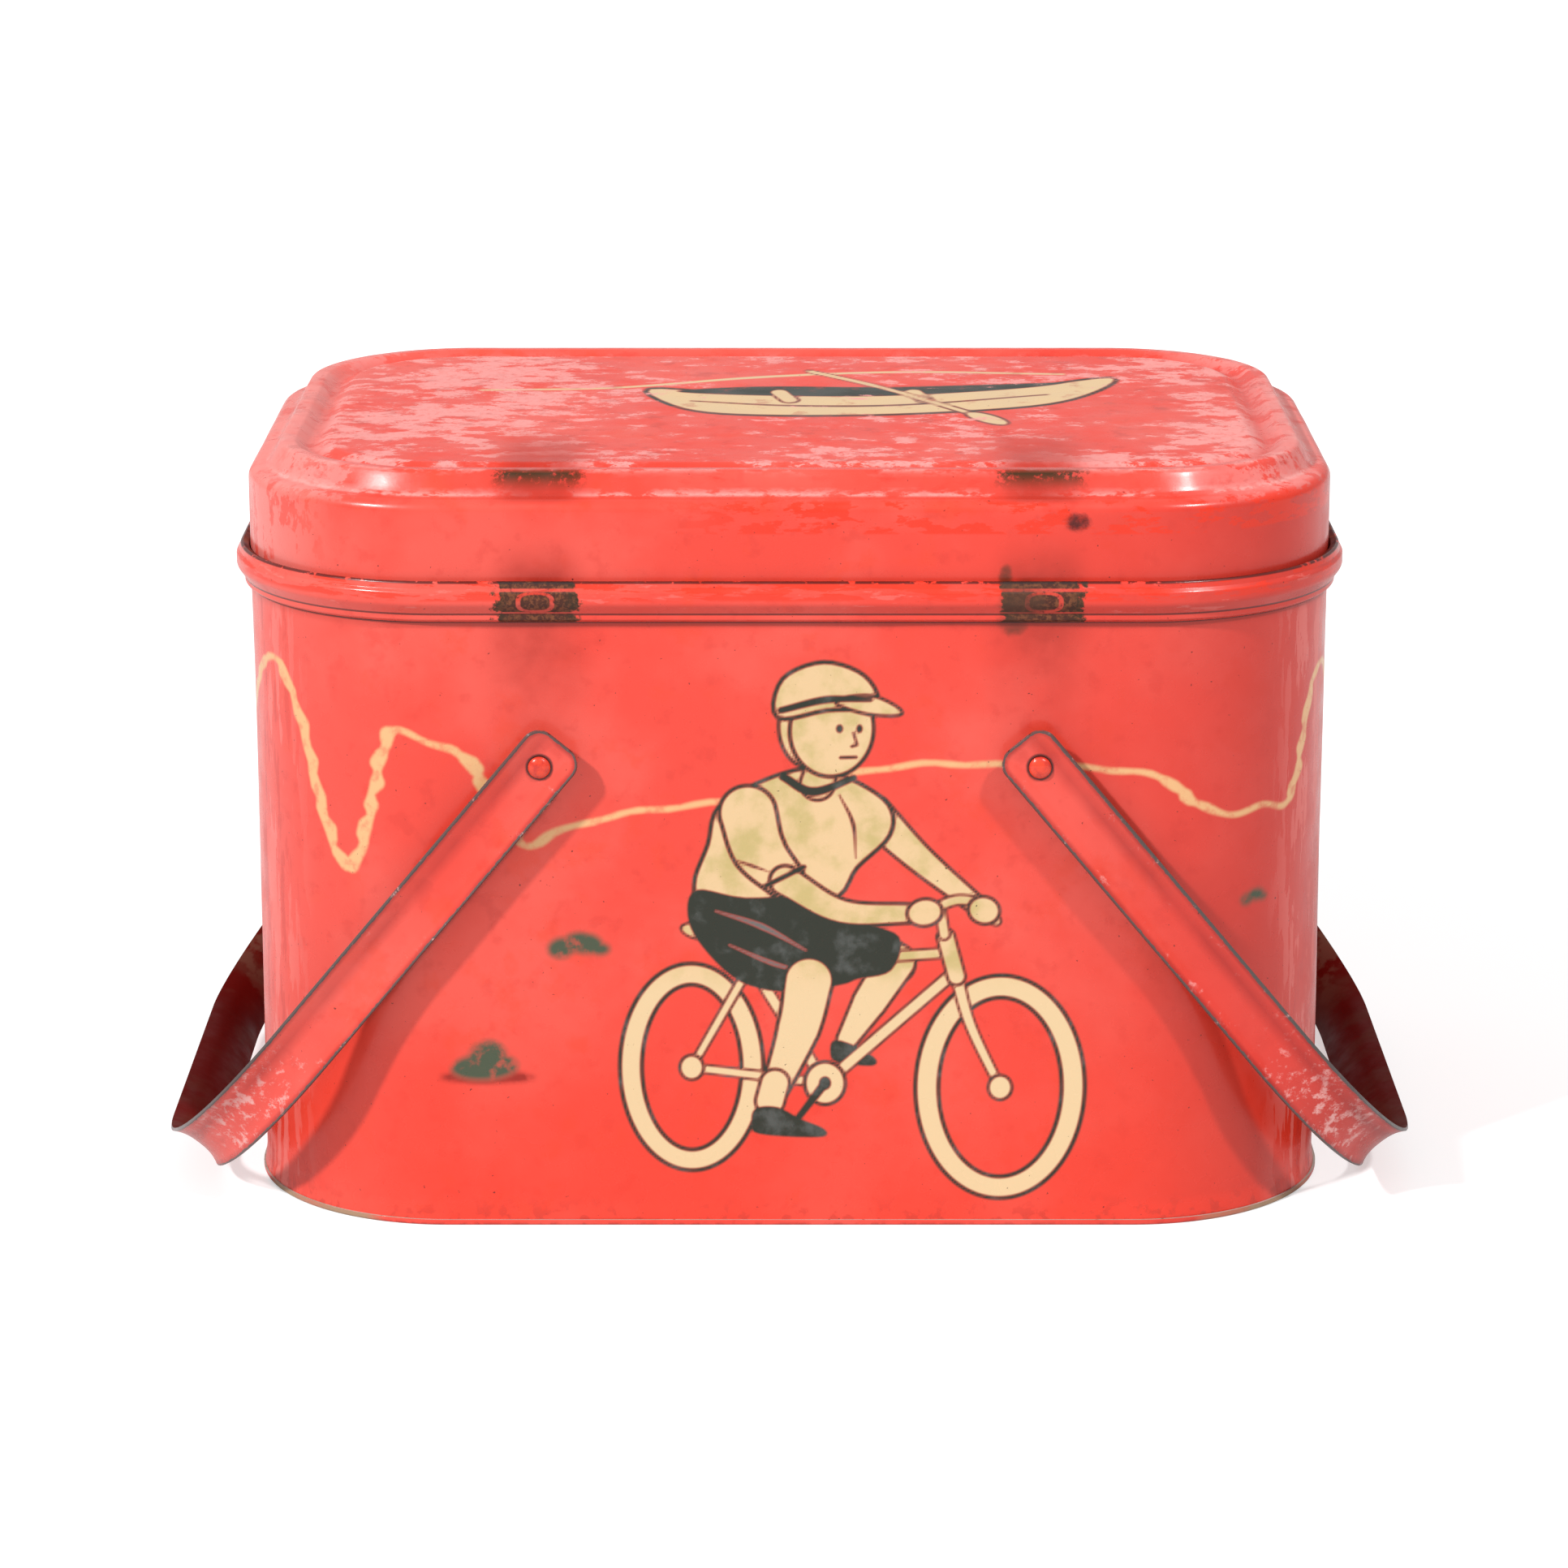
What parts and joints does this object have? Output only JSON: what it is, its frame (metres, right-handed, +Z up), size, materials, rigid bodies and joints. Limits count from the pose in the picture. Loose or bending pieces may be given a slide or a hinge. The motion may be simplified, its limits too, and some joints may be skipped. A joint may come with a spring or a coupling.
{
  "type": "metal lunch box",
  "caption": "Rounded rectangular tinplate lunch box with a lift-off slip lid, a beaded rim band and U-shaped strip handles that swing on rivets.",
  "frame": {"origin": "on the table, under the middle of the box, with the handles hanging at rest", "axes": "+X along the box's length to its right, +Y to its back, +Z up; its painted front faces -Y"},
  "size_m": [0.2358, 0.1448, 0.1411],
  "materials": {
    "body_paint": "worn gloss enamel, coral red",
    "lid_paint": "worn gloss enamel, coral red, scuffed pink",
    "handle_paint": "worn gloss enamel, bare edges",
    "rivet_paint": "gloss enamel",
    "bare_tinplate": "dull tinplate"
  },
  "bodies": {
    "tin_body": {"body_wall": "body_paint", "bottom_panel": "body_paint", "rim_band": "body_paint", "rivet_front_left": "rivet_paint", "rivet_front_right": "rivet_paint", "rivet_back_left": "rivet_paint", "rivet_back_right": "rivet_paint", "spacer_front_left": "bare_tinplate", "spacer_front_right": "bare_tinplate", "spacer_back_left": "bare_tinplate", "spacer_back_right": "bare_tinplate", "washer_front_left": "bare_tinplate", "washer_front_right": "bare_tinplate", "washer_back_left": "bare_tinplate", "washer_back_right": "bare_tinplate"},
    "lid": {"lid_shell": "lid_paint"},
    "left_handle": {"left_handle": "handle_paint"},
    "right_handle": {"right_handle": "handle_paint"}
  },
  "joints": [
    {"name": "lid_lift", "type": "slide", "parent": "tin_body", "child": "lid", "axis": [0, 0, 1], "range_m": [0, 0.1]},
    {"name": "left_handle_swing", "type": "hinge", "parent": "tin_body", "child": "left_handle", "pos_m": [-0.04507, 0, 0.0886], "axis": [0, 1, 0], "range_deg": [-1.9, 161.5]},
    {"name": "right_handle_swing", "type": "hinge", "parent": "tin_body", "child": "right_handle", "pos_m": [0.04507, 0, 0.0886], "axis": [0, -1, 0], "range_deg": [-1.9, 161.5]}
  ]
}
